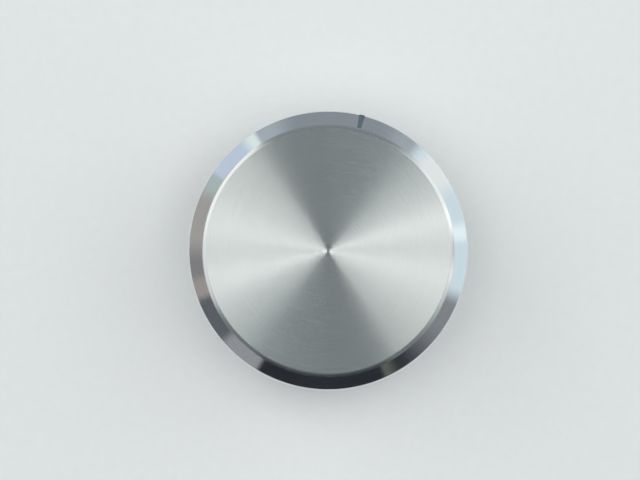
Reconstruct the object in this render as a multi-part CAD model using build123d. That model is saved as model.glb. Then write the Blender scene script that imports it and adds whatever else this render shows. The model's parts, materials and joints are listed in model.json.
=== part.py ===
"""Solid aluminium control knob, turned from bar, with the set screw that grips its shaft.

Millimetres. +Z is the knob's axis and points out of its face. The origin is the centre of the
foot, the flat ring that faces the panel. The index line is at +Y and the set screw enters
from -Y.
"""

import math
import os

from build123d import *

# Knob body, outside
knob_diameter = 35.0
knob_height = 17.0
bevel_size = 2.0  # bright-cut 45 degree bevel round the face
edge_round = 0.5  # softened corners above and below the bevel
foot_chamfer = 0.5  # broken edge where the side meets the foot

# Centre mark, the shallow cone with a small flat bottom that facing leaves in the middle of the face
centre_mark_diameter = 1.5
centre_mark_flat = 0.36  # across the bottom
centre_mark_depth = 0.09

# Index line, engraved across the bevel with a round-nosed cutter, deeper and so wider towards the side
index_cutter_radius = 0.45
index_inner_depth = 0.05
index_outer_depth = 0.12

# Recess in the foot, which clears the nut and bushing on the panel
recess_diameter = 20.0
recess_depth = 5.0
recess_mouth_chamfer = 0.4
recess_corner_radius = 0.4  # left by the nose of the boring bar

# Blind bore for the shaft
shaft_diameter = 6.0
shaft_clearance = 0.05  # on the diameter, a sliding fit
bore_mouth_chamfer = 0.4
roof_thickness = 2.5  # metal left between the drill point and the face
drill_point_angle = 118.0

# Set screw, hexagon socket with cup point
thread_diameter = 3.0
thread_clearance = 0.05  # on the radius, between the screw and its tapped hole
screw_length = 6.0
screw_head_chamfer = 0.3
cup_diameter = 1.4
cup_angle = 120.0
socket_width = 1.5  # across the flats
socket_depth = 2.0
socket_floor_angle = 120.0
tip_setback = 0.3  # the screw is backed off this far from the bore's wall
tapped_mouth_chamfer = 0.35

# How far every cut runs past the surface that it breaks
cut_overrun = 1.0

# Sizes that follow from those above
knob_radius = knob_diameter / 2
face_radius = knob_radius - bevel_size
recess_radius = recess_diameter / 2
bore_radius = (shaft_diameter + shaft_clearance) / 2
drill_point_height = bore_radius / math.tan(math.radians(drill_point_angle / 2))
bore_end = knob_height - roof_thickness - drill_point_height
bore_start = recess_depth + bore_mouth_chamfer
bevel_inwards = Vector(0, -1, -1).normalized()  # square to the bevel at +Y, into the metal
index_inner_end = Vector(0, face_radius, knob_height) + bevel_inwards * index_inner_depth
index_outer_end = Vector(0, knob_radius, knob_height - bevel_size) + bevel_inwards * index_outer_depth
index_run = index_outer_end - index_inner_end
index_bottom = Plane(origin=index_inner_end, x_dir=(1, 0, 0), z_dir=index_run)  # Y points into the metal
thread_radius = thread_diameter / 2
tapped_radius = thread_radius + thread_clearance
screw_height = (bore_start + bore_end) / 2  # half-way along the shaft's grip
screw_axis = Plane(origin=(0, 0, screw_height), x_dir=(1, 0, 0), z_dir=(0, -1, 0))


def knob_section():
    """Half of the knob's section, with the radius along X and the height along Y."""
    with BuildSketch() as section:
        with BuildLine():
            Polyline(
                (0, knob_height),
                (face_radius, knob_height),
                (knob_radius, knob_height - bevel_size),
                (knob_radius, foot_chamfer),
                (knob_radius - foot_chamfer, 0),
                (recess_radius + recess_mouth_chamfer, 0),
                (recess_radius, recess_mouth_chamfer),
                (recess_radius, recess_depth),
                (bore_radius + bore_mouth_chamfer, recess_depth),
                (bore_radius, bore_start),
                (bore_radius, bore_end),
                (0, bore_end + drill_point_height),
                close=True,
            )
        make_face()
        corners = section.vertices()
        above_bevel = corners.sort_by_distance((face_radius, knob_height))[0]
        below_bevel = corners.sort_by_distance((knob_radius, knob_height - bevel_size))[0]
        recess_corner = corners.sort_by_distance((recess_radius, recess_depth))[0]
        fillet([above_bevel, below_bevel], radius=edge_round)
        fillet(section.vertices().sort_by_distance(recess_corner)[0], radius=recess_corner_radius)
    return section.sketch


def tapped_hole():
    """Cross hole from the bore's axis out through the side, with a countersunk mouth."""
    mouth_radius = tapped_radius + tapped_mouth_chamfer
    with BuildPart(screw_axis) as hole:
        Cylinder(
            radius=tapped_radius,
            height=knob_radius + cut_overrun,
            align=(Align.CENTER, Align.CENTER, Align.MIN),
        )
        with Locations((0, 0, knob_radius - tapped_mouth_chamfer)):
            Cone(
                bottom_radius=tapped_radius,
                top_radius=mouth_radius,
                height=tapped_mouth_chamfer,
                align=(Align.CENTER, Align.CENTER, Align.MIN),
            )
    return hole.part


def index_groove():
    """The round nose of the engraving cutter, run along the bottom of the index line at +Y."""
    with BuildPart(index_bottom) as groove:
        with Locations((0, -index_cutter_radius, index_run.length / 2)):
            Cylinder(radius=index_cutter_radius, height=index_run.length + 2 * cut_overrun)
    return groove.part


def make_knob_body():
    """The turned body: one revolved section, less cross hole, index line and centre mark."""
    with BuildPart() as body:
        add(Plane.XZ * knob_section())
        revolve(axis=Axis.Z)
        add(tapped_hole(), mode=Mode.SUBTRACT)
        add(index_groove(), mode=Mode.SUBTRACT)
        with Locations((0, 0, knob_height)):
            Cone(
                bottom_radius=centre_mark_flat / 2,
                top_radius=centre_mark_diameter / 2,
                height=centre_mark_depth,
                align=(Align.CENTER, Align.CENTER, Align.MAX),
                mode=Mode.SUBTRACT,
            )
    return body.part


def make_set_screw():
    """The grub screw, turned about its own axis and placed along the tapped hole, cup inwards."""
    cup_radius = cup_diameter / 2
    cup_depth = cup_radius / math.tan(math.radians(cup_angle / 2))
    point_chamfer = thread_radius - cup_radius
    socket_radius = socket_width / 2
    floor_depth = socket_radius / math.tan(math.radians(socket_floor_angle / 2))
    with BuildPart() as screw:
        with BuildSketch(Plane.XZ):
            with BuildLine():
                Polyline(
                    (0, cup_depth),
                    (cup_radius, 0),
                    (thread_radius, point_chamfer),
                    (thread_radius, screw_length - screw_head_chamfer),
                    (thread_radius - screw_head_chamfer, screw_length),
                    (0, screw_length),
                    close=True,
                )
            make_face()
        revolve(axis=Axis.Z)
        with BuildSketch(Plane.XY.offset(screw_length)):
            RegularPolygon(radius=socket_radius, side_count=6, major_radius=False)
        extrude(amount=-socket_depth, mode=Mode.SUBTRACT)
        with Locations((0, 0, screw_length - socket_depth)):
            Cone(
                bottom_radius=0,
                top_radius=socket_radius,
                height=floor_depth,
                align=(Align.CENTER, Align.CENTER, Align.MAX),
                mode=Mode.SUBTRACT,
            )
    return screw_axis.offset(bore_radius + tip_setback).location * screw.part


knob_body = make_knob_body()
set_screw = make_set_screw()

os.makedirs("parts", exist_ok=True)
export_step(knob_body, "parts/knob_body.step")
export_step(set_screw, "parts/set_screw.step")
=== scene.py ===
import json

import bpy
import numpy as np
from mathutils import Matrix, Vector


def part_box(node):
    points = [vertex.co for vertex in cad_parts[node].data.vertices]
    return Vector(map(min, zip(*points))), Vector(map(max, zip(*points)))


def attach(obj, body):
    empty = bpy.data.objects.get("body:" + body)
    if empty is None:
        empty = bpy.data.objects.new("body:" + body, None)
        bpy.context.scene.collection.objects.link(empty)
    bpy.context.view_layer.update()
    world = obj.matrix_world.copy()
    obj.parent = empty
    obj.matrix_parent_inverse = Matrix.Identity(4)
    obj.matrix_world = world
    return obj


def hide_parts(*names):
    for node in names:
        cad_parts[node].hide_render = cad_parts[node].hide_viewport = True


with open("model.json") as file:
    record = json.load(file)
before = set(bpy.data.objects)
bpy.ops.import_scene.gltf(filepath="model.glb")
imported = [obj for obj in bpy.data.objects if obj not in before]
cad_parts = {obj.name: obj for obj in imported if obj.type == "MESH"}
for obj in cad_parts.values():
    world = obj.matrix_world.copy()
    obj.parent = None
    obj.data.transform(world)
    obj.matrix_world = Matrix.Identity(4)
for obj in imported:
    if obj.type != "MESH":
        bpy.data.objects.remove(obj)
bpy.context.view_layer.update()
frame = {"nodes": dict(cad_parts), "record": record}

# sizes that come from the frame, in metres
mm = 0.001
knobLow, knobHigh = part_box("knob_body")
screwLow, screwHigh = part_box("set_screw")
mountSizes = {mount["name"]: mount["dims"] for mount in frame["record"]["mounts"]}
knobRadius = knobHigh.x
knobHeight = knobHigh.z
boreRadius = mountSizes["shaft_bore"]["r_mm"] * mm
screwRadius = screwHigh.x
screwAxisZ = (screwLow.z + screwHigh.z) / 2
screwHead = -screwLow.y    # how far the screw's two ends are from the knob's axis
screwTip = -screwHigh.y
print("frame loaded:", ", ".join(sorted(frame["nodes"])))


# corner numbers of every cell of a grid, in turn round the cell; around closes the last column
def gridCells(rows, columns, around):
    number = np.arange(rows * columns).reshape(rows, columns)
    if around:
        number = np.hstack([number, number[:, :1]])
    return np.stack([number[:-1, :-1], number[:-1, 1:], number[1:, 1:], number[1:, :-1]], -1)


# a patch is a grid of points with the outward normal at each one; finish is the material number of
# its cells, one for all or one each, and keep leaves cells out. A patch that faces inwards is turned.
def makePatch(points, normals, finish=0, around=True, keep=None, flat=False):
    cells = gridCells(points.shape[0], points.shape[1], around)
    finish = np.broadcast_to(finish, cells.shape[:2]).reshape(-1)
    cells = cells.reshape(-1, 4)
    if keep is not None:
        cells, finish = cells[keep.reshape(-1)], finish[keep.reshape(-1)]
    points = points.reshape(-1, 3)
    cornerNormals = np.broadcast_to(normals, (*normals.shape[:-1], 3)).reshape(-1, 3)[cells]
    corner = points[cells]
    facing = np.cross(corner[:, 2] - corner[:, 0], corner[:, 3] - corner[:, 1])
    if np.sum(facing * cornerNormals.mean(1)) < 0:
        cells, cornerNormals, facing = cells[:, ::-1], cornerNormals[:, ::-1], -facing
    if flat:    # every cell is shaded as one flat facet
        facing = facing / np.linalg.norm(facing, axis=1)[:, None]
        cornerNormals = np.repeat(facing[:, None], 4, axis=1)
    return {"points": points, "cells": cells, "normals": cornerNormals, "finish": finish}


weldStep = 2e-8    # points nearer to each other than this become one


# lays patches end to end and welds points that fall together; each corner keeps the normal of
# its own patch, so an edge between two patches stays crisp and a shared curve stays smooth
def joinPatches(name, patches, materials):
    points = np.concatenate([patch["points"] for patch in patches])
    first = np.cumsum([0] + [len(patch["points"]) for patch in patches])
    cells = np.concatenate([patch["cells"] + start for patch, start in zip(patches, first)])
    normals = np.concatenate([patch["normals"] for patch in patches])
    finish = np.concatenate([patch["finish"] for patch in patches])
    places = np.round(points / weldStep).astype(np.int64)
    kept, number = np.unique(places, axis=0, return_index=True, return_inverse=True)[1:]
    used, corners = np.unique(number.reshape(-1)[cells], return_inverse=True)
    corners = corners.reshape(cells.shape)
    distinct = corners != np.roll(corners, -1, axis=1)    # a cell at a pole loses a corner
    sizes = distinct.sum(1)
    mesh = bpy.data.meshes.new(name)
    mesh.vertices.add(len(used))
    mesh.vertices.foreach_set("co", points[kept[used]].astype(np.float32).ravel())
    mesh.loops.add(int(sizes.sum()))
    mesh.loops.foreach_set("vertex_index", corners[distinct].astype(np.int32))
    mesh.polygons.add(len(sizes))
    mesh.polygons.foreach_set("loop_start", (np.cumsum(sizes) - sizes).astype(np.int32))
    mesh.polygons.foreach_set("material_index", finish.astype(np.int32))
    mesh.update(calc_edges=True)
    mesh.validate()
    mesh.normals_split_custom_set(normals[distinct].tolist())
    for material in materials:
        mesh.materials.append(material)
    piece = bpy.data.objects.new(name, mesh)
    bpy.context.scene.collection.objects.link(piece)
    print(name + ":", len(used), "points,", len(sizes), "faces")
    return piece


# normals of a grid that is closed sideways: the cross product of its slopes along rows and columns,
# turned to point the same way as toward
def slopeNormals(points, toward):
    down = np.gradient(points, axis=0)
    across = np.roll(points, -1, axis=1) - np.roll(points, 1, axis=1)
    normals = np.cross(down, across)
    normals /= np.linalg.norm(normals, axis=-1, keepdims=True)
    return normals * np.sign(np.sum(normals * toward))


# section of a turned piece as (radius, height): straight legs between corner points, with every
# corner between two legs rounded by an arc that touches both. The outward normal is the path's
# direction turned left, and on an arc it swings evenly from one leg's normal to the next. legRows
# adds points along a leg. Gives radius, height, normal and leg of each row; an arc's rows count
# from leg to leg.
def roundedSection(corners, rounds, legRows, arcStep=np.radians(5), fewestSteps=3):
    corners = np.array(corners, float)
    legs = np.diff(corners, axis=0)
    legs /= np.linalg.norm(legs, axis=1)[:, None]
    leftOf = np.stack([-legs[:, 1], legs[:, 0]], 1)
    rows = [[*corners[0], *leftOf[0], 0]]
    for leg, corner in enumerate(corners[1:]):
        rows += [[*place, *leftOf[leg], leg] for place in legRows.get(leg, [])]
        if leg + 1 == len(legs):
            rows.append([*corner, *leftOf[leg], leg])
            break
        fromAngle = np.arctan2(leftOf[leg, 1], leftOf[leg, 0])
        turn = np.arctan2(leftOf[leg + 1, 1], leftOf[leg + 1, 0]) - fromAngle
        turn = (turn + np.pi) % (2 * np.pi) - np.pi
        bulge = -np.sign(turn)    # 1 on an outer corner, -1 on an inner one
        start = corner - legs[leg] * rounds[leg] * np.tan(abs(turn) / 2)
        steps = max(fewestSteps, int(np.ceil(abs(turn) / arcStep)))
        angles = fromAngle + turn * np.linspace(0, 1, steps + 1)
        normals = np.stack([np.cos(angles), np.sin(angles)], 1)
        places = start + bulge * rounds[leg] * (normals - normals[0])
        arcLegs = leg + np.linspace(0, 1, steps + 1)
        rows += np.column_stack([places, normals, arcLegs]).tolist()
    return np.array(rows).T


# adds a shader node; a socket given as an input is linked, anything else is set
def addNode(tree, kind, inputs=None, **settings):
    node = tree.nodes.new("ShaderNode" + kind)
    for key, value in settings.items():
        setattr(node, key, value)
    for key, value in (inputs or {}).items():
        if isinstance(value, bpy.types.NodeSocket):
            tree.links.new(value, node.inputs[key])
        else:
            node.inputs[key].default_value = value
    return node


def newGroup(name, inputs, outputs):
    tree = bpy.data.node_groups.new(name, "ShaderNodeTree")
    for label, kind in inputs:
        tree.interface.new_socket(label, in_out="INPUT", socket_type="NodeSocket" + kind)
    for label in outputs:
        tree.interface.new_socket(label, in_out="OUTPUT", socket_type="NodeSocketFloat")
    return tree, tree.nodes.new("NodeGroupInput").outputs, tree.nodes.new("NodeGroupOutput").inputs


# lines that a lathe tool leaves: noise drawn out round the axis. It is read at radius less height,
# which changes along any turned surface, and the direction round the axis breaks the lines up.
def makeToolLines():
    tree, given, result = newGroup(
        "toolLines",
        [("Position", "Vector"), ("Lines per mm", "Float"), ("Breaks", "Float")],
        ["Height", "Tone"])
    parts = addNode(tree, "SeparateXYZ", {0: given["Position"]}).outputs
    level = addNode(tree, "CombineXYZ", {"X": parts["X"], "Y": parts["Y"]}).outputs[0]
    radius = addNode(tree, "VectorMath", {0: level}, operation="LENGTH").outputs["Value"]
    around = addNode(tree, "VectorMath", {0: level}, operation="NORMALIZE").outputs[0]
    spread = addNode(tree, "VectorMath", {0: around, "Scale": given["Breaks"]}, operation="SCALE")
    spreadParts = addNode(tree, "SeparateXYZ", {0: spread.outputs[0]}).outputs
    run = addNode(tree, "Math", {0: radius, 1: parts["Z"]}, operation="SUBTRACT").outputs[0]
    runMm = addNode(tree, "Math", {0: run, 1: 1 / mm}, operation="MULTIPLY").outputs[0]
    lines = addNode(tree, "Math", {0: runMm, 1: given["Lines per mm"]}, operation="MULTIPLY").outputs[0]
    place = addNode(
        tree, "CombineXYZ", {"X": lines, "Y": spreadParts["X"], "Z": spreadParts["Y"]}).outputs[0]
    noise = addNode(
        tree, "TexNoise", {"Vector": place, "Scale": 1.0, "Detail": 2.0, "Roughness": 0.55}).outputs[0]
    tone = addNode(tree, "MapRange", {"Value": noise, "From Min": 0.3, "From Max": 0.7}).outputs[0]
    tree.links.new(noise, result["Height"])
    tree.links.new(tone, result["Tone"])
    return tree


# faint clouds where fingers and cloths have been
def makeHandling():
    tree, given, result = newGroup(
        "handling", [("Position", "Vector"), ("Clouds per mm", "Float")], ["Cloud"])
    scale = addNode(tree, "Math", {0: given["Clouds per mm"], 1: 1 / mm}, operation="MULTIPLY").outputs[0]
    noise = addNode(
        tree, "TexNoise",
        {"Vector": given["Position"], "Scale": scale, "Detail": 4.0, "Roughness": 0.6, "Distortion": 0.4})
    cloud = addNode(tree, "MapRange", {"Value": noise.outputs[0], "From Min": 0.35, "From Max": 0.7})
    tree.links.new(cloud.outputs[0], result["Cloud"])
    return tree


toolLines = makeToolLines()
handling = makeHandling()
mixColours, mixedColour = (6, 7), 2    # the colour sockets of a Mix node


def cloudsOn(tree, place, cloudsPerMm):
    given = {"Position": place, "Clouds per mm": cloudsPerMm}
    return addNode(tree, "Group", given, node_tree=handling).outputs["Cloud"]


# colour between two tones of one base colour
def toneOf(tree, share, colour, tones):
    mix = addNode(tree, "Mix", {0: share}, data_type="RGBA")
    for socket, tone in zip(mixColours, tones):
        mix.inputs[socket].default_value = (*(tone * np.array(colour)), 1)
    return mix.outputs[mixedColour]


def newMaterial(name):
    material = bpy.data.materials.new(name)
    material.use_nodes = True
    tree = material.node_tree
    place = addNode(tree, "TexCoord").outputs["Object"]
    return material, tree, tree.nodes["Principled BSDF"], place


# each cut of the metal, in the order in which the section meets them from the axis: its colour,
# roughness with the part that the lines vary, anisotropy across the lines, lines per mm with their
# breaks, and the bump's depth
metalCuts = {
    # the centre flat is coloured darker than the other cuts: painted shade that deepens the dark spot its
    # flat mirrors
    "centreFlat": {
        "colour": (0.68, 0.69, 0.71), "roughness": 0.18, "vary": 0.02, "anisotropy": 0.0,
        "linesPerMm": 9.0, "breaks": 1.0, "bump": 0.0002 * mm},
    "centreCone": {
        "colour": (0.89, 0.90, 0.90), "roughness": 0.33, "vary": 0.02, "anisotropy": 1.0,
        "linesPerMm": 9.0, "breaks": 1.0, "bump": 0.0002 * mm},
    "spunFace": {
        "colour": (0.89, 0.90, 0.90), "roughness": 0.38, "vary": 0.04, "anisotropy": 1.0,
        "linesPerMm": 14.0, "breaks": 2.5, "bump": 0.018 * mm},
    "softEdge": {
        "colour": (0.71, 0.72, 0.73), "roughness": 0.22, "vary": 0.03, "anisotropy": 0.6,
        "linesPerMm": 9.0, "breaks": 2.0, "bump": 0.0002 * mm},
    "brightBevel": {
        "colour": (0.84, 0.85, 0.87), "roughness": 0.08, "vary": 0.02, "anisotropy": 0.3,
        "linesPerMm": 7.0, "breaks": 2.0, "bump": 0.0001 * mm},
    "satinSide": {
        "colour": (0.79, 0.80, 0.81), "roughness": 0.30, "vary": 0.06, "anisotropy": 0.75,
        "linesPerMm": 8.0, "breaks": 1.0, "bump": 0.0005 * mm},
    "boredInside": {
        "colour": (0.74, 0.75, 0.76), "roughness": 0.34, "vary": 0.08, "anisotropy": 0.6,
        "linesPerMm": 3.0, "breaks": 1.5, "bump": 0.0030 * mm},
}
finishNumber = {name: number for number, name in enumerate([*metalCuts, "indexPaint"])}
allCuts = {"tones": (0.97, 1.02), "cloudsPerMm": 0.12, "quarterTurn": 0.25}


# turned aluminium: tool lines vary colour, roughness and bump, clouds add to the roughness, and the
# tangent runs round the axis, turned a quarter so that light spreads across the lines
def makeTurnedMetal(name):
    cut = metalCuts[name]
    material, tree, shader, place = newMaterial(name)
    lines = addNode(
        tree, "Group",
        {"Position": place, "Lines per mm": cut["linesPerMm"], "Breaks": cut["breaks"]},
        node_tree=toolLines).outputs
    cloud = cloudsOn(tree, place, allCuts["cloudsPerMm"])
    lineRoughness = addNode(
        tree, "MapRange",
        {"Value": lines["Tone"], "To Min": cut["roughness"] - cut["vary"],
         "To Max": cut["roughness"] + cut["vary"]}).outputs[0]
    roughness = addNode(
        tree, "Math", {0: cloud, 1: cut["vary"] / 2, 2: lineRoughness}, operation="MULTIPLY_ADD").outputs[0]
    bump = addNode(tree, "Bump", {"Height": lines["Height"], "Distance": cut["bump"]}).outputs[0]
    tangent = addNode(tree, "Tangent", direction_type="RADIAL", axis="Z").outputs[0]
    colour = toneOf(tree, lines["Tone"], cut["colour"], allCuts["tones"])
    tree.links.new(colour, shader.inputs["Base Color"])
    tree.links.new(roughness, shader.inputs["Roughness"])
    tree.links.new(bump, shader.inputs["Normal"])
    tree.links.new(tangent, shader.inputs["Tangent"])
    shader.inputs["Metallic"].default_value = 1.0
    shader.inputs["Anisotropic"].default_value = cut["anisotropy"]
    shader.inputs["Anisotropic Rotation"].default_value = allCuts["quarterTurn"]
    return material


# dark coats: paint rubbed into the index line, a little paler in places, and black oxide on steel, paler
# and glossier where it was handled. Tones and roughness both go from the first value to the second.
darkCoats = {
    "indexPaint": {
        "colour": (0.088, 0.122, 0.148), "tones": (0.9, 1.2), "roughness": (0.42, 0.60),
        "cloudsPerMm": 3.0, "metallic": 0.0},
    "blackenedSteel": {
        "colour": (0.085, 0.082, 0.080), "tones": (0.8, 1.3), "roughness": (0.46, 0.32),
        "cloudsPerMm": 1.2, "metallic": 1.0},
}


def makeDarkCoat(name):
    coat = darkCoats[name]
    material, tree, shader, place = newMaterial(name)
    cloud = cloudsOn(tree, place, coat["cloudsPerMm"])
    first, second = coat["roughness"]
    roughness = addNode(tree, "MapRange", {"Value": cloud, "To Min": first, "To Max": second}).outputs[0]
    tree.links.new(toneOf(tree, cloud, coat["colour"], coat["tones"]), shader.inputs["Base Color"])
    tree.links.new(roughness, shader.inputs["Roughness"])
    shader.inputs["Metallic"].default_value = coat["metallic"]
    return material


# the tapped hole's thread, which the set screw shares. Its height over the root is a triangle that
# climbs one pitch in one turn, a right-hand thread as seen from outside. The triangle is made steeper
# and sunk a little, and then cut off at root and top, so that both are flat.
thread = {"pitch": 0.5 * mm, "depth": 0.27 * mm, "clearance": 0.05 * mm, "steepness": 1.35, "sunk": 0.2}


def threadShape(angle, out):
    phase = (angle / (2 * np.pi) - out / thread["pitch"]) % 1
    triangle = 1 - abs(2 * phase - 1)
    return np.clip(thread["steepness"] * triangle - thread["sunk"], 0, 1)


knobBody = {
    "bevel": 2.0 * mm, "faceEdgeRound": 0.8 * mm, "sideEdgeRound": 0.5 * mm, "edgeBreak": 0.06 * mm,
    "footChamfer": 0.5 * mm,
    "markFlat": 0.18 * mm, "markRadius": 0.75 * mm, "markDepth": 0.09 * mm,
    "recessRadius": 10.0 * mm, "recessDepth": 5.0 * mm, "mouthChamfer": 0.4 * mm,
    "recessCorner": 0.4 * mm, "roof": 2.5 * mm, "drillPoint": np.radians(118),
    "indexNose": 0.6 * mm, "indexDepths": (0.03 * mm, 0.12 * mm),
    "countersink": 0.35 * mm, "sideWindow": 3.0 * mm, "boreWindow": 2.4 * mm, "boreLineHalf": np.pi / 8,
    "windowColumns": 16, "plainColumns": 130, "lineColumns": 28, "windowRings": 10, "rowsPerTurn": 8,
    "coneRows": 4, "rimRounds": 8, "footRows": 9, "footClear": 0.1 * mm,
}
# legs of the section, counted from the axis
flatLeg, coneLeg, faceLeg, bevelLeg, sideLeg, footLeg, recessLeg, boreLeg = 0, 1, 2, 3, 4, 6, 8, 11
# the leg at which each cut ends, more or less a share of the arc beside it; the last cut goes on to the
# drill point
cutEnds = {
    "centreFlat": flatLeg, "centreCone": coneLeg + 0.75, "spunFace": faceLeg + 0.12,
    "softEdge": bevelLeg - 0.02, "brightBevel": bevelLeg + 0.75, "satinSide": footLeg - 0.75,
}


# points round the knob's axis: radius and turn across it, height along it
def roundKnobAxis(radius, turn, height):
    return np.stack(np.broadcast_arrays(radius * np.cos(turn), radius * np.sin(turn), height), -1)


# turns of the columns from the screw's side, counter-clockwise: a window of columns for the cross
# hole, spaced as the tangent of even angles, and close columns at the index line, half a turn away
def columnTurns(windowHalf, lineHalf):
    half, plain, line = knobBody["windowColumns"] // 2, knobBody["plainColumns"], knobBody["lineColumns"]
    count = 2 * (half + plain) + line
    turns = np.interp(
        np.arange(count), [half, half + plain, half + plain + line, count - half],
        [windowHalf, np.pi - lineHalf, np.pi + lineHalf, 2 * np.pi - windowHalf])
    ease = np.tan(np.pi / 4 * np.arange(half + 1) / half)
    turns[:half + 1] = windowHalf * ease
    turns[count - half:] = 2 * np.pi - windowHalf * ease[:0:-1]
    return turns


# rows of the section, from the flat of the centre mark up its cone, over the face and the bevel, down
# the side, across the foot and up through the recess and the bore to the drill point
def knobSection():
    size = knobBody
    faceRadius = knobRadius - size["bevel"]
    drillHeight = boreRadius / np.tan(size["drillPoint"] / 2)
    boreEnd = knobHeight - size["roof"] - drillHeight
    boreMouth = boreRadius + size["mouthChamfer"]
    mouthRadius = size["recessRadius"] + size["mouthChamfer"]
    corners = [
        (0, knobHeight - size["markDepth"]),
        (size["markFlat"], knobHeight - size["markDepth"]),
        (size["markRadius"], knobHeight),
        (faceRadius, knobHeight),
        (knobRadius, knobHeight - size["bevel"]),
        (knobRadius, size["footChamfer"]),
        (knobRadius - size["footChamfer"], 0),
        (mouthRadius, 0),
        (size["recessRadius"], size["mouthChamfer"]),
        (size["recessRadius"], size["recessDepth"]),
        (boreMouth, size["recessDepth"]),
        (boreRadius, size["recessDepth"] + size["mouthChamfer"]),
        (boreRadius, boreEnd),
        (0, boreEnd + drillHeight),
    ]
    rounds = np.full(len(corners) - 2, size["edgeBreak"])
    rounds[[faceLeg, bevelLeg]] = size["faceEdgeRound"], size["sideEdgeRound"]
    rounds[recessLeg] = size["recessCorner"]
    windowSteps = np.tan(np.linspace(-np.pi / 4, np.pi / 4, size["windowColumns"] + 1))
    faceShares = np.arange(0.1, 0.95, 0.1)
    bevelShares = np.linspace(0.15, 0.85, 8)
    bevelDrops = bevelShares * size["bevel"]
    footStart = knobRadius - size["footChamfer"] - size["footClear"]
    footRows = np.linspace(footStart, mouthRadius + size["footClear"], size["footRows"])
    sideRows = screwAxisZ - size["sideWindow"] * windowSteps
    boreRows = screwAxisZ + size["boreWindow"] * windowSteps
    legRows = {
        faceLeg: [(share * faceRadius, knobHeight) for share in faceShares],
        bevelLeg: [(faceRadius + drop, knobHeight - drop) for drop in bevelDrops],
        sideLeg: [(knobRadius, height) for height in sideRows],
        footLeg: [(radius, 0) for radius in footRows],
        boreLeg: [(boreRadius, height) for height in boreRows],
    }
    return roundedSection(corners, rounds, legRows)


# the index line: where the surface stands higher than the round nose of the cutter, it goes down to
# it, square to the bevel. The nose is a circle across the line, and the line gets deeper in step with
# the way down the bevel.
def cutIndexLine(points, normals):
    nose, bevel = knobBody["indexNose"], knobBody["bevel"]
    square = np.array([0, 1, 1]) / np.sqrt(2)
    down = np.array([0, 1, -1]) / np.sqrt(2)
    fromEdge = points - np.array([0, knobRadius - bevel, knobHeight])
    share = fromEdge @ down / (np.sqrt(2) * bevel)
    innerDepth, outerDepth = knobBody["indexDepths"]
    depth = (1 - share) * innerDepth + share * outerDepth
    across = np.clip(points[..., 0] / nose, -1, 1)
    rise = np.sqrt(1 - across ** 2)
    height = fromEdge @ square
    floor = nose * (1 - rise) - depth
    inLine = (height > floor) & (abs(points[..., 0]) < nose)
    points = points + np.where(inLine, floor - height, 0)[..., None] * square
    lineNormals = rise[..., None] * square - across[..., None] * np.array([1, 0, 0])
    return points, np.where(inLine[..., None], lineNormals, normals), inLine


# the wall round a cross hole: rings go from the edge of a rectangular window to the hole's rim, and
# this flat sheet of rings is wrapped on the wall's radius
def holeWindow(radius, half, angles, rimAcross, rimUp, outward, finish):
    reach = half / np.maximum(abs(np.cos(angles)), abs(np.sin(angles)))
    share = np.linspace(0, 1, knobBody["windowRings"] + 1)[:, None]
    across = (1 - share) * reach * np.cos(angles) + share * rimAcross
    up = (1 - share) * reach * np.sin(angles) + share * rimUp
    turn = across / radius - np.pi / 2
    points = roundKnobAxis(radius, turn, screwAxisZ + up)
    return makePatch(points, outward * roundKnobAxis(1, turn, 0), finish)


# points round the screw's axis: radius and angle across it, out along it from the knob's axis
def roundScrewAxis(radius, angle, out):
    across, up = radius * np.cos(angle), radius * np.sin(angle)
    return np.stack(np.broadcast_arrays(across, -out, screwAxisZ + up), -1)


# the cross hole: a countersunk mouth, then the thread, which fades in and out over one pitch. The rim
# is where the mouth's cone meets the round side, found by going from one to the other in a few rounds.
def crossHolePatches(sideFinish, boreFinish):
    tapped = screwRadius + thread["clearance"]
    columns = 4 * knobBody["windowColumns"]
    angles = 2 * np.pi * np.arange(columns) / columns
    threadStart = knobRadius - knobBody["countersink"]
    rim = np.full_like(angles, tapped + knobBody["countersink"])
    for step in range(knobBody["rimRounds"]):
        rim = tapped + np.sqrt(knobRadius ** 2 - (rim * np.cos(angles)) ** 2) - threadStart
    rimOut = np.sqrt(knobRadius ** 2 - (rim * np.cos(angles)) ** 2)
    share = np.linspace(0, 1, knobBody["coneRows"])[:, None]
    cone = roundScrewAxis(
        (1 - share) * rim + share * tapped, angles, (1 - share) * rimOut + share * threadStart)
    coneNormals = np.stack([-np.cos(angles), -np.ones_like(angles), -np.sin(angles)], -1) / np.sqrt(2)
    threadEnd = np.sqrt(boreRadius ** 2 - (tapped * np.cos(angles)) ** 2)
    rowCount = int((threadStart - boreRadius) / thread["pitch"] * knobBody["rowsPerTurn"])
    out = threadStart + np.linspace(0, 1, rowCount)[:, None] * (threadEnd - threadStart)
    fade = np.clip(np.minimum(threadStart - out, out - threadEnd) / thread["pitch"], 0, 1)
    wall = roundScrewAxis(tapped - thread["depth"] * fade * threadShape(angles, out), angles, out)
    inwards = -roundScrewAxis(1, angles, 0 * out) + np.array([0, 0, screwAxisZ])
    sideTurn = np.arcsin(rim * np.cos(angles) / knobRadius)
    boreTurn = np.arcsin(tapped * np.cos(angles) / boreRadius)
    return [
        holeWindow(
            knobRadius, knobBody["sideWindow"], angles, knobRadius * sideTurn, rim * np.sin(angles),
            1, sideFinish),
        makePatch(cone, np.broadcast_to(coneNormals, cone.shape), boreFinish),
        makePatch(wall, slopeNormals(wall, inwards), boreFinish),
        holeWindow(
            boreRadius, knobBody["boreWindow"], angles, boreRadius * boreTurn, tapped * np.sin(angles),
            -1, boreFinish),
    ]


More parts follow.
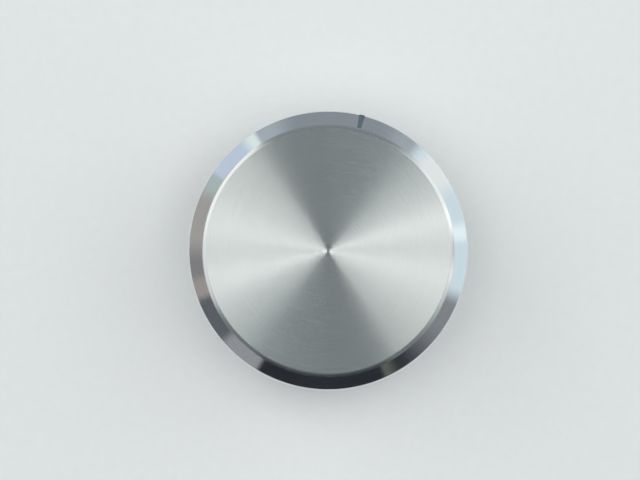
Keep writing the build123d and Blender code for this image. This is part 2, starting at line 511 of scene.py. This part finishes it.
# the turned body: the section carried round the axis. From the foot inwards the columns shift from
# the side's spacing to the bore's, on the flat of the foot, so that both walls have their window.
def makeKnobBody(materials):
    radius, height, normalOut, normalUp, leg = knobSection()
    outer = columnTurns(knobBody["sideWindow"] / knobRadius, knobBody["indexNose"] / knobRadius)
    inner = columnTurns(knobBody["boreWindow"] / boreRadius, knobBody["boreLineHalf"])
    onFoot = leg == footLeg
    footShare = np.interp(radius, [radius[onFoot].min(), radius[onFoot].max()], [1, 0])
    shift = np.where(leg < footLeg, 0, np.where(onFoot, footShare, 1))[:, None]
    turn = (1 - shift) * outer + shift * inner - np.pi / 2
    points = roundKnobAxis(radius[:, None], turn, height[:, None])
    normals = roundKnobAxis(normalOut[:, None], turn, normalUp[:, None])
    points, normals, inLine = cutIndexLine(points, normals)
    cut = np.searchsorted(list(cutEnds.values()), (leg[:-1] + leg[1:]) / 2)
    finish = cut[:, None] + np.zeros(turn.shape[1], int)
    painted = (inLine | np.roll(inLine, -1, axis=1)) & (leg >= bevelLeg)[:, None]
    finish = np.where(painted[:-1] | painted[1:], finishNumber["indexPaint"], finish)
    keep = np.ones_like(finish, bool)
    half = knobBody["windowColumns"] // 2
    for wallLeg, window in ((sideLeg, knobBody["sideWindow"]), (boreLeg, knobBody["boreWindow"])):
        rows = np.flatnonzero((leg == wallLeg) & (abs(height - screwAxisZ) < window + weldStep))
        keep[rows[0]:rows[-1], :half] = False
        keep[rows[0]:rows[-1], -half:] = False
    turned = makePatch(points, normals, finish, keep=keep)
    crossHole = crossHolePatches(finishNumber["satinSide"], finishNumber["boredInside"])
    return joinPatches("knobBody", [turned] + crossHole, materials)


setScrew = {
    "headChamfer": 0.3 * mm, "cupRadius": 0.7 * mm, "cupHalfAngle": np.radians(60),
    "socketHalf": 0.75 * mm, "socketDepth": 2.0 * mm, "floorHalfAngle": np.radians(60),
    "drillShare": 0.98, "columns": 72, "rowsPerTurn": 8, "plainRows": 3,
}


# the set screw: a thread cut off by a cone at the head and another at the cup point, a six-sided
# socket whose radius is the half width over the cosine from the middle of a side, and one cone each
# for the socket's floor and the cup
def makeSetScrew(material):
    size = setScrew
    angles = 2 * np.pi * np.arange(size["columns"]) / size["columns"]
    rowCount = int((screwHead - screwTip) / thread["pitch"] * size["rowsPerTurn"]) + 1
    out = np.linspace(screwHead, screwTip, rowCount)[:, None]
    shank = screwRadius - thread["depth"] * threadShape(angles, out)
    headCone = screwRadius - size["headChamfer"] + screwHead - out
    pointCone = size["cupRadius"] + out - screwTip
    outside = roundScrewAxis(np.minimum(shank, np.minimum(headCone, pointCone)), angles, out)
    outwards = roundScrewAxis(1, angles, 0 * out) - np.array([0, 0, screwAxisZ])
    hexagon = size["socketHalf"] / np.cos(angles % (np.pi / 3) - np.pi / 6)
    headRadius = screwRadius - size["headChamfer"]
    share = np.linspace(0, 1, size["plainRows"])[:, None]
    face = roundScrewAxis((1 - share) * headRadius + share * hexagon, angles, screwHead + 0 * share)
    socketEnd = screwHead - size["socketDepth"]
    walls = roundScrewAxis(hexagon + 0 * share, angles, screwHead - share * size["socketDepth"])
    inwards = np.array([0, 0, screwAxisZ]) - roundScrewAxis(1, angles, 0 * share)
    drill = size["drillShare"] * size["socketHalf"]
    ledge = roundScrewAxis((1 - share) * hexagon + share * drill, angles, socketEnd + 0 * share)
    floorDepth = drill / np.tan(size["floorHalfAngle"])
    floor = roundScrewAxis(drill * (1 - share), angles, socketEnd - floorDepth * share)
    cupDepth = size["cupRadius"] / np.tan(size["cupHalfAngle"])
    cup = roundScrewAxis(size["cupRadius"] * (1 - share), angles, screwTip + cupDepth * share)
    headwards, tipwards = np.array([0, -1, 0]), np.array([0, 1, 0])

    def coneNormals(halfAngle, along):
        return np.cos(halfAngle) * inwards + np.sin(halfAngle) * along

    patches = [
        makePatch(outside, slopeNormals(outside, outwards)),
        makePatch(face, np.broadcast_to(headwards, face.shape)),
        makePatch(walls, inwards, flat=True),
        makePatch(ledge, np.broadcast_to(headwards, ledge.shape)),
        makePatch(floor, coneNormals(size["floorHalfAngle"], headwards)),
        makePatch(cup, coneNormals(size["cupHalfAngle"], tipwards)),
    ]
    return joinPatches("setScrew", patches, [material])


knobMaterials = [makeTurnedMetal(name) for name in metalCuts] + [makeDarkCoat("indexPaint")]
knobPiece = makeKnobBody(knobMaterials)
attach(knobPiece, "root")
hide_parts("knob_body")
screwPiece = makeSetScrew(makeDarkCoat("blackenedSteel"))
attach(screwPiece, "root")
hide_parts("set_screw")
print("knob and set screw in place")

# the camera looks straight down; offset is from the knob's axis, to the right and up in the picture,
# and the index line is turned clockwise from the top of the picture
photoCamera = {
    "height": 350 * mm, "offset": (-1.03 * mm, 1.315 * mm), "indexTurn": 14.1,
    "lens": 150.6, "sensor": 36, "nearest": 0.01,
}
pictureTurn = np.radians(photoCamera["indexTurn"])
pictureRight = np.array([np.cos(pictureTurn), np.sin(pictureTurn), 0])
pictureUp = np.array([-np.sin(pictureTurn), np.cos(pictureTurn), 0])
upward = np.array([0, 0, 1])


def placeCamera():
    cameraData = bpy.data.cameras.new("photoCamera")
    cameraData.sensor_width = photoCamera["sensor"]
    cameraData.lens = photoCamera["lens"]
    cameraData.clip_start = photoCamera["nearest"]
    camera = bpy.data.objects.new("photoCamera", cameraData)
    right, up = photoCamera["offset"]
    camera.location = right * pictureRight + up * pictureUp + photoCamera["height"] * upward
    camera.rotation_euler = (0, 0, pictureTurn)
    bpy.context.scene.collection.objects.link(camera)
    bpy.context.scene.camera = camera


# two glowing rings stand round the knob. A pane of a ring has its edges as azimuths counter-clockwise
# from the picture's right, how many degrees each edge is soft over, and its glow; panes add up.
# The window ring lights everything; the card ring is low, lights nothing, casts no shadow and shows only in
# reflections: its panes are painted reflections in the bevel.
windowRing = {
    "away": 0.5, "height": (0.045, 5.0), "columns": 720, "seeThrough": True,
    "panes": {
        "left": {"edges": (123, 206), "soft": (4, 16), "glow": (0.74, 0.76, 0.74)},
        "leftHigh": {"edges": (123, 174), "soft": (4, 14), "glow": (0.32, 0.32, 0.29)},
        "rightLow": {"edges": (-28, -4), "soft": (44, 6), "glow": (0.78, 0.80, 0.76)},
        "rightGap": {"edges": (-4, 6), "soft": (6, 6), "glow": (0.44, 0.45, 0.41)},
        "rightHigh": {"edges": (6, 49), "soft": (6, 22), "glow": (0.96, 1.00, 0.98)},
        "rightStreak": {"edges": (11, 18), "soft": (4, 4), "glow": (0.66, 0.61, 0.51)},
        "lowStreak": {"edges": (-15, -9), "soft": (4, 4), "glow": (0.34, 0.32, 0.28)},
    },
}
reflectionCardRing = {
    "away": 0.13, "height": (0, 0.022), "columns": 720, "seeThrough": False,
    "panes": {
        "right": {"edges": (-20, 49), "soft": (9, 6), "glow": (0.68, 0.81, 0.86)},
        "rightStreak": {"edges": (4, 11), "soft": (4, 5), "glow": (0.22, 0.20, 0.17)},
        "rightWarm": {"edges": (27, 44), "soft": (10, 6), "glow": (0.19, 0.10, 0.03)},
        "topRight": {"edges": (49, 61), "soft": (6, 14), "glow": (0.38, 0.43, 0.45)},
        "top": {"edges": (61, 110), "soft": (14, 14), "glow": (0.27, 0.30, 0.33)},
        "topShoulder": {"edges": (110, 122), "soft": (14, 2), "glow": (0.41, 0.47, 0.50)},
        "topLeft": {"edges": (122, 146), "soft": (2, 1.5), "glow": (0.56, 0.66, 0.77)},
        "topLeftEdge": {"edges": (122, 127.5), "soft": (2, 6), "glow": (0.25, 0.25, 0.10)},
        "leftHigh": {"edges": (146, 155), "soft": (1.5, 8), "glow": (0.05, 0.15, 0.16)},
        "left": {"edges": (146, 180), "soft": (1.5, 12), "glow": (0.39, 0.375, 0.35)},
        "leftLow": {"edges": (180, 192), "soft": (12, 5), "glow": (0.235, 0.235, 0.235)},
        "leftFoot": {"edges": (192, 201), "soft": (5, 4), "glow": (0.355, 0.32, 0.30)},
        "lowerLeft": {"edges": (201, 221), "soft": (4, 5), "glow": (0.115, 0.125, 0.135)},
        "bottomLeft": {"edges": (221, 239.3), "soft": (5, 3), "glow": (0.31, 0.32, 0.335)},
        "bottom": {"edges": (239.3, 314), "soft": (3, 28), "glow": (0.021, 0.025, 0.031)},
        "bottomStreak": {"edges": (294.5, 299), "soft": (3, 9), "glow": (0.110, 0.110, 0.088)},
        "lowerRight": {"edges": (314, 340), "soft": (28, 9), "glow": (0.24, 0.25, 0.265)},
    },
}


# the glow round a ring: a pane rises over its first soft edge and falls over its last, as 3 s squared
# less 2 s cubed of the share s of the edge that is passed
def ringGlow(panes, azimuth):
    glow = np.zeros((len(azimuth), 3))
    for pane in panes.values():
        half = np.ptp(pane["edges"]) / 2
        fromMiddle = (azimuth - np.mean(pane["edges"]) + 180) % 360 - 180
        rising = np.clip(0.5 + (fromMiddle + half) / pane["soft"][0], 0, 1)
        falling = np.clip(0.5 + (half - fromMiddle) / pane["soft"][1], 0, 1)
        share = np.minimum(rising, falling)
        glow += (share ** 2 * (3 - 2 * share))[:, None] * pane["glow"]
    return glow


# a glowing sheet that faces the knob and stays out of the picture; glowAt gives the glow at its points
def placeSheet(name, turn, points, glowAt, around, seeThrough):
    material = bpy.data.materials.new(name)
    material.use_nodes = True
    tree = material.node_tree
    tree.nodes.clear()
    colour = addNode(tree, "Attribute", attribute_name="glow").outputs["Color"]
    surface = addNode(tree, "Emission", {"Color": colour}).outputs[0]
    if seeThrough:
        clear = addNode(tree, "BsdfTransparent").outputs[0]
        surface = addNode(tree, "AddShader", {0: surface, 1: clear}).outputs[0]
    addNode(tree, "OutputMaterial", {"Surface": surface})
    normals = np.broadcast_to(roundKnobAxis(-1, turn, 0), points.shape)
    sheet = joinPatches(name, [makePatch(points, normals, around=around)], [material])
    places = np.empty(3 * len(sheet.data.vertices), np.float32)
    sheet.data.vertices.foreach_get("co", places)
    glow = glowAt(places.reshape(-1, 3))
    glowLayer = sheet.data.attributes.new("glow", "FLOAT_COLOR", "POINT")
    glowLayer.data.foreach_set("color", np.column_stack([glow, np.ones(len(glow))]).ravel())
    sheet.visible_camera = False
    return sheet


# a ring is a strip of a cylinder, a function of azimuth and height
def placeRing(name, ring):
    turn = np.linspace(0, 2 * np.pi, ring["columns"], endpoint=False)
    points = roundKnobAxis(ring["away"], turn, np.array(ring["height"], float)[:, None])

    def glowAt(places):
        azimuth = np.degrees(np.arctan2(places[:, 1], places[:, 0]) - pictureTurn)
        return ringGlow(ring["panes"], azimuth)

    return placeSheet(name, turn, points, glowAt, True, ring["seeThrough"])


# three glowing flags stand on the card ring and, like it, show only in reflections: painted reflections in
# the rim, paler ones at the top and left of the picture and a dark one at the bottom. A flag has its ends
# as azimuths, the height of its foot and of its highest point, and its glow at both.
flags = {
    "topFlag": {
        "edges": (52, 124), "height": (0.022, 0.20),
        "glow": ((0.290, 0.320, 0.340), (0.230, 0.265, 0.275))},
    "leftFlag": {
        "edges": (126, 207), "height": (0.022, 0.050),
        "glow": ((0.390, 0.380, 0.360), (0.450, 0.440, 0.420))},
    # a dark sheet that blocks no light and shows only in reflections: painted dark reflection at the bottom
    # of the rim
    "bottomFlag": {
        "edges": (235, 301), "height": (0.022, 0.28),
        "glow": ((0.028, 0.034, 0.039), (0.165, 0.190, 0.198))},
}
flagGrid = {"columns": 61, "rows": 13}


# a flag's top is an arch, one less the fourth power of the share of the way from its middle to an end,
# and its glow changes evenly with height
def placeFlag(name, flag):
    low, high = flag["height"]
    share = np.linspace(-1, 1, flagGrid["columns"])
    rise = np.linspace(0, 1, flagGrid["rows"])[:, None]
    azimuth = np.mean(flag["edges"]) + np.ptp(flag["edges"]) / 2 * share
    turn = pictureTurn + np.radians(azimuth)
    height = low + rise * (high - low) * (1 - share ** 4)
    points = roundKnobAxis(reflectionCardRing["away"], turn, height)

    def glowAt(places):
        return np.column_stack([np.interp(places[:, 2], (low, high), ends) for ends in zip(*flag["glow"])])

    return placeSheet(name, turn, points, glowAt, False, False)


floorSweep = {
    "flatRows": (0, 0.1, 0.3), "flatRadius": 1.3, "bend": 0.1, "wall": 0.06, "columns": 96, "bendRows": 16,
    "colour": (0.80, 0.80, 0.81), "tones": (0.97, 1.02), "grain": 900.0, "grainDetail": 3.0,
    "roughness": 0.75,
}


# the floor: a disc that bends up into a low wall all round, pale paper with a faint grain
def placeFloor():
    size = floorSweep
    bendAngle = np.linspace(0, np.pi / 2, size["bendRows"])
    flatRows = np.array(size["flatRows"])
    radius = np.concatenate([flatRows, size["flatRadius"] + size["bend"] * np.sin(bendAngle)])
    height = np.concatenate([0 * flatRows, size["bend"] * (1 - np.cos(bendAngle))])
    radius = np.append(radius, radius[-1])
    height = np.append(height, height[-1] + size["wall"])
    turn = np.linspace(0, 2 * np.pi, size["columns"], endpoint=False)
    points = roundKnobAxis(radius[:, None], turn, height[:, None])
    inside = size["bend"] * upward - points
    normals = np.where((height == 0)[:, None, None], upward, inside)
    normals /= np.linalg.norm(normals, axis=-1, keepdims=True)
    material, tree, shader, place = newMaterial("palePaper")
    grainInputs = {"Vector": place, "Scale": size["grain"], "Detail": size["grainDetail"]}
    grain = addNode(tree, "TexNoise", grainInputs).outputs[0]
    tree.links.new(toneOf(tree, grain, size["colour"], size["tones"]), shader.inputs["Base Color"])
    shader.inputs["Roughness"].default_value = size["roughness"]
    floor = joinPatches("floorSweep", [makePatch(points, normals)], [material])


softbox = {"size": 0.9, "height": 1.1, "power": 5.0}


# a softbox overhead that lights the floor and stays out of the mirrored room
def placeSoftbox():
    lampData = bpy.data.lights.new("softbox", "AREA")
    lampData.size = softbox["size"]
    lampData.energy = softbox["power"]
    lamp = bpy.data.objects.new("softbox", lampData)
    lamp.location = (0, 0, softbox["height"])
    lamp.visible_glossy = False
    bpy.context.scene.collection.objects.link(lamp)


studioRoom = {"colour": (0.179, 0.210, 0.219), "strength": 1.0}


def placeWorld():
    world = bpy.data.worlds.new("studioRoom")
    world.use_nodes = True
    background = world.node_tree.nodes["Background"]
    background.inputs["Color"].default_value = (*studioRoom["colour"], 1)
    background.inputs["Strength"].default_value = studioRoom["strength"]
    bpy.context.scene.world = world


placeCamera()
placeRing("windowRing", windowRing)
# the card ring and the flags glow only in reflections, lighting nothing and casting no shadow: painted
# reflections in the bevel and rim
for sheet in [placeRing("reflectionCardRing", reflectionCardRing)] + [placeFlag(name, flag) for name, flag in flags.items()]:
    sheet.visible_diffuse = False
    sheet.visible_shadow = False
placeFloor()
placeSoftbox()
placeWorld()
bpy.context.scene.view_settings.view_transform = "Standard"
print("camera, lamps and floor in place")
